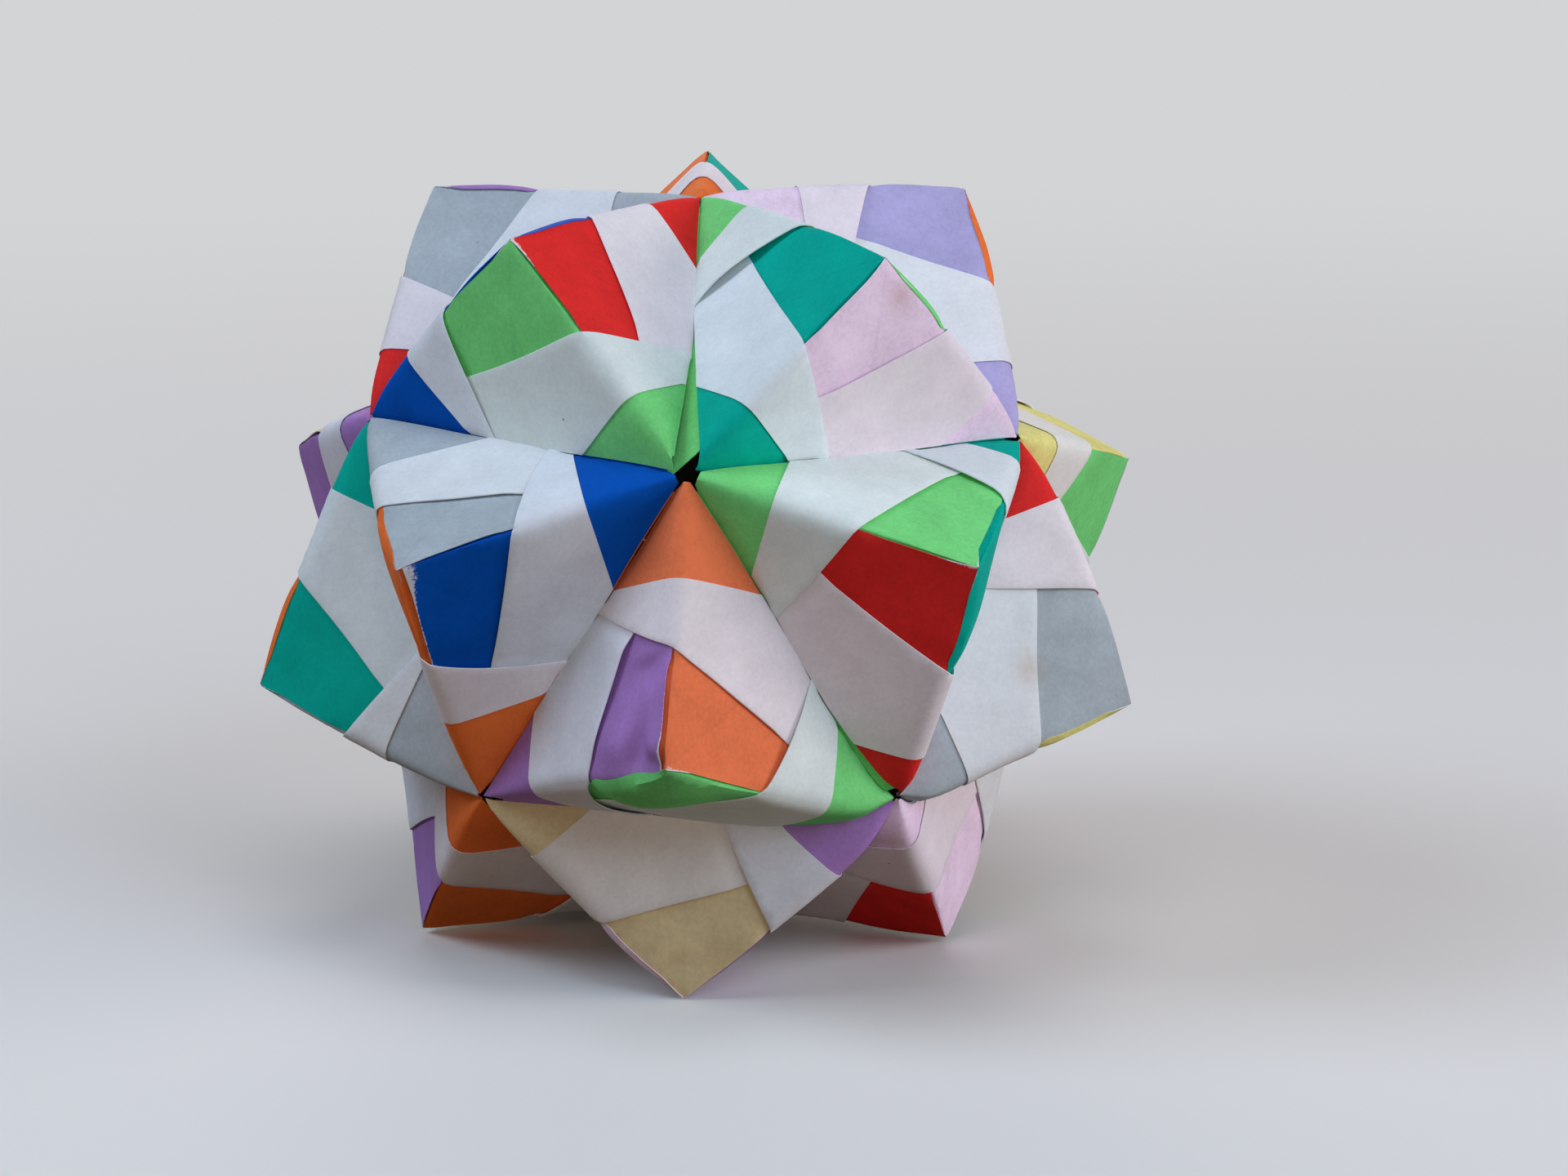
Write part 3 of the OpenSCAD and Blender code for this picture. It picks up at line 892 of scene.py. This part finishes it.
foldTree = makeFoldTree()
socketId = {item.name: item.identifier for item in foldTree.interface.items_tree if item.in_out == "INPUT"}

# the thirty units: eyes at the valley's ends, and paper
ringPapers = {
    "crown": ["green", "pink", "orange", "gray", "red"],
    "upper_belt": ["teal", "purple", "teal", "purple", "blue"],
    "waist_right": ["green", "yellow", "blue", "beige", "gray"],
    "waist_left": ["orange", "red", "green", "yellow", "teal"],
    "lower_belt": ["gray", "pink", "blue", "orange", "purple"],
    "base": ["pink", "red", "yellow", "purple", "beige"],
}
unitTable = {}
for k in range(ball["aroundEye"]):
    here, after, before = [(k + step) % ball["aroundEye"] + 1 for step in (0, 1, -1)]
    ends = {
        "crown": ("top", f"upper{here}"),
        "upper_belt": (f"upper{here}", f"upper{after}"),
        "waist_right": (f"upper{here}", f"lower{here}"),
        "waist_left": (f"upper{here}", f"lower{before}"),
        "lower_belt": (f"lower{here}", f"lower{after}"),
        "base": ("bottom", f"lower{here}"),
    }
    for ring, (eyeA, eyeB) in ends.items():
        unitTable[f"{ring}_unit_{here}"] = (eyeA, eyeB, ringPapers[ring][k])
# what differs from the plain unit, by unit and by the eye that a half covers
ownLooks = {
    "crown_unit_1": {
        "upper1": {"rawEdge": 0.69, "sliver": 0.5, "tipFace": 1.1, "tipTab": 1.0, "faceTilt": 1.9,
                   "valleyTuck": 0.0},
        "top": {"rawEdge": 0.72, "mouthLift": 0.75, "mouthSkew": 1.6, "sliver": -0.3, "puff": 0.35,
                "edgeLift": 0.05, "tipFace": 0.15, "tipTab": 0.2, "backSpread": 2.6},
    },
    "crown_unit_2": {
        "upper2": {"rawEdge": 0.74, "edgeLift": 0.25, "stains": ((-1.4, 4.2, 0.9, 0.35),)},
        "top": {"rawEdge": 0.64, "mouthShift": -1.2},
    },
    "crown_unit_3": {
        "upper3": {"sliver": -0.3, "puff": 0.9, "edgeLift": 0.05},
    },
    "crown_unit_5": {
        "top": {"edgeLift": 0.18, "tabBow": 0.4, "tipRub": 1.3, "tipTab": 0.15, "hidden": 1.7},
    },
    "upper_belt_unit_1": {
        "upper1": {"rawEdge": 0.7, "tabTilt": 2.3, "tipFace": 1.0, "tipTab": 2.2, "rub": 0.1},
        "upper2": {"rawEdge": 0.785, "mouthShift": 1.9, "sliver": -0.2, "puff": 0.8, "edgeLift": 0.03},
    },
    "upper_belt_unit_2": {
        # fade on this unit is painted sheen: its lit purple drawn paler and bluer
        "upper2": {"fade": 0.55, "nextShift": -1.2},
        "upper3": {"fade": 0.55},
    },
    "upper_belt_unit_4": {
        "upper4": {"sliver": -0.4, "puff": 0.7, "edgeLift": 0.1},
    },
    "upper_belt_unit_5": {
        "upper5": {"rawEdge": 0.66, "sliver": -0.2, "puff": 0.55, "edgeLift": 0.05},
        "upper1": {"rawEdge": 0.66, "sliver": 0.95, "tipInset": 0.8, "rub": 0.35, "tipRub": 5.0,
                   "tipFace": 0.9, "tipTab": 0.8, "nextShift": -0.9},
    },
    "waist_right_unit_1": {
        "upper1": {"rawEdge": 0.7, "sliver": 0.8, "tipFace": 1.1, "tipTab": 1.2, "edgeLift": 0.05,
                   "nextShift": 1.9},
        "lower1": {"rawEdge": 0.7, "puff": 1.4, "sliver": -0.25, "tipInset": -0.1},
    },
    "waist_right_unit_2": {
        "lower2": {"sliver": -0.3, "puff": 0.4, "edgeLift": 0.05},
    },
    "waist_right_unit_5": {
        "upper5": {"rawEdge": 0.6, "mouthShift": -0.8},
        "lower5": {"rawEdge": 0.6},
    },
    "waist_left_unit_1": {
        # fade on this half is painted sheen: its lit orange drawn a little paler
        "upper1": {"rawEdge": 0.65, "tipRub": 0.9, "tipFace": 0.6, "tipTab": 0.7, "fade": 0.05,
                   "spacing": 0.5},
        "lower5": {"rawEdge": 0.65, "sliver": -0.2, "puff": 0.65, "edgeLift": 0.03, "mouthShift": -0.9,
                   "nextShift": -0.8},
    },
    "waist_left_unit_2": {
        "lower1": {"rawEdge": 0.76, "tipRub": 0.8, "tabTilt": 1.4, "tiltFrom": 0.66},
        "upper2": {"rawEdge": 0.76},
    },
    "lower_belt_unit_1": {
        "lower1": {"stains": ((-6.7, 9.0, 1.0, 0.3),)},
        "lower2": {"mouthLift": 0.06, "foldLift": 0.05},
    },
    "lower_belt_unit_4": {
        "lower4": {"rawEdge": 0.65, "sliver": -0.3, "puff": 0.7, "edgeLift": 0.05},
        "lower5": {"rawEdge": 0.65, "rub": 0.15},
    },
    "lower_belt_unit_5": {
        "lower5": {"rawEdge": 0.72, "foldLift": 0.5, "tipRub": 1.0, "rub": 0.12, "faceBow": 1.5,
                   "mouthLift": 0.45, "sliver": 0.45, "tipInset": 0.9, "edgeLift": 0.35, "spacing": 0.5},
        "lower1": {"rawEdge": 0.72, "sliver": -0.3, "puff": 0.85, "edgeLift": 0.05},
    },
    "base_unit_1": {
        "bottom": {"sliver": -0.3, "puff": 0.6, "edgeLift": 0.05},
        "lower1": {"rawEdge": 0.79},
    },
    "base_unit_5": {
        "lower5": {"stains": ((-3.0, 3.6, 0.8, 0.25), (-6.0, 1.2, 1.2, 0.18))},
    },
}
# how hand folding varies: the draw is added to the plain unit's number, or multiplies it
variety = {
    "rawEdge": ("added", -0.03, 0.03),
    "mouthLift": ("times", 0.6, 1.4),
    "sliver": ("times", 0.4, 1.5),
    "edgeLift": ("times", 0.5, 1.6),
    "foldLift": ("times", 0.5, 1.8),
    "faceBow": ("added", -0.25, 0.35),
    "tabBow": ("added", -0.25, 0.35),
    "tipFace": ("times", 0.6, 1.4),
    "tipTab": ("times", 0.6, 1.4),
    "tipRub": ("times", 0.4, 2.0),
}


def findRidges():
    # point, line to the eye and how far the ridge stands out, for all ridges but those underneath
    found = []
    centre = Vector((0, 0, ball["centreHeight"])) * mm
    for names in itertools.combinations(eyes, 3):
        spans = [(eyes[a] - eyes[b]).length for a, b in itertools.combinations(names, 2)]
        if max(spans) > valley + ball["nearly"]:
            continue
        point = placed(names)
        for name in names:
            if name != "bottom":
                line = placed([name]) - point
                out = point + line / 2 - centre
                out = (out - line * out.dot(line) / line.length_squared).normalized()
                amount = ball["ownFullness"].get((labelOf(names), name), ball["fullness"])
                found.append((np.array(point), np.array(line), np.array(out) * amount * mm))
    return found


ridges = findRidges()


def pushed(points):
    # moves spots of the finished ball, in metres: full ridges first, then the dents
    moved = points.copy()
    for point, line, push in ridges:
        share = np.clip((points - point) @ line / (line @ line), 0, 1)
        away = ((points - point - np.outer(share, line)) ** 2).sum(1)
        near = np.exp(-away / (2 * (ball["fullReach"] * mm) ** 2))
        moved += (np.sin(math.pi * share ** ball["fullSkew"]) * near)[:, None] * push
    for dent in ball["dents"]:
        spot = sum((placed(names.split()) * share for names, share in dent["spot"].items()), Vector())
        away = points - np.array(spot)
        if "toward" in dent:    # drawn out into a crease
            line = np.array((placed([dent["toward"]]) - spot).normalized())
            away -= np.outer(away @ line, line) * (1 - 1 / dent["stretch"])
        reach = 2 * (dent["radius"] * mm) ** 2
        moved += np.exp(-(away ** 2).sum(1) / reach)[:, None] * np.array(dent["push"]) * mm
    return moved


def foldUnit(node):
    eyeA, eyeB, paper = unitTable[node]
    dice = random.Random(node)
    sides = []
    for eye in (eyeA, eyeB):
        own = dict(unit)
        for label, (how, low, high) in variety.items():
            draw = dice.uniform(low, high)
            own[label] = own[label] + draw if how == "added" else own[label] * draw
        own.update(ownLooks.get(node, {}).get(eye, {}))
        sides.append(own)
    name = "folded_" + node
    piece = bpy.data.objects.new(name, cutSheet(name + "_flat", sides))
    bpy.context.scene.collection.objects.link(piece)
    thirdA, thirdB = thirdEye(eyeA, eyeB, 0), thirdEye(eyeA, eyeB, 1)
    folds = piece.modifiers.new("foldSheet", "NODES")
    folds.node_group = foldTree
    inputs = {
        "Apex A": placed([eyeA, eyeB, thirdA]), "Apex B": placed([eyeA, eyeB, thirdB]),
        "Eye A": placed([eyeA]), "Eye B": placed([eyeB]),
        "Third Eye A": placed([thirdA]), "Third Eye B": placed([thirdB]),
        "Ridge": ridge * mm, "Ridge Round": unit["ridgeRound"] * mm, "Bulge": unit["bulge"] * mm,
        "Crumple": unit["crumple"] * mm, "Crumple Size": unit["crumpleSize"] * mm,
        "Seed": unit["crumpleSeed"], "Paper": unit["paper"] * mm,
        "Printed Side": printedSide[paper], "White Side": whiteSide[paper],
    }
    for label, value in inputs.items():
        folds[socketId[label]] = value
    graph = bpy.context.evaluated_depsgraph_get()
    mesh = bpy.data.meshes.new_from_object(
        piece.evaluated_get(graph), preserve_all_data_layers=True, depsgraph=graph)
    piece.modifiers.clear()
    flat = piece.data
    piece.data = mesh
    bpy.data.meshes.remove(flat)
    mesh.name = name
    spots = np.empty(3 * len(mesh.vertices))
    mesh.vertices.foreach_get("co", spots)
    mesh.vertices.foreach_set("co", pushed(spots.reshape(-1, 3)).ravel())
    mesh.shade_smooth()
    mesh.set_sharp_from_angle(angle=math.radians(unit["sharpAngle"]))
    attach(piece, "root")
    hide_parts(node)
    return piece


pieces = [foldUnit(node) for node in unitTable]
print("units folded:", len(pieces), "with", sum(len(p.data.polygons) for p in pieces), "faces")
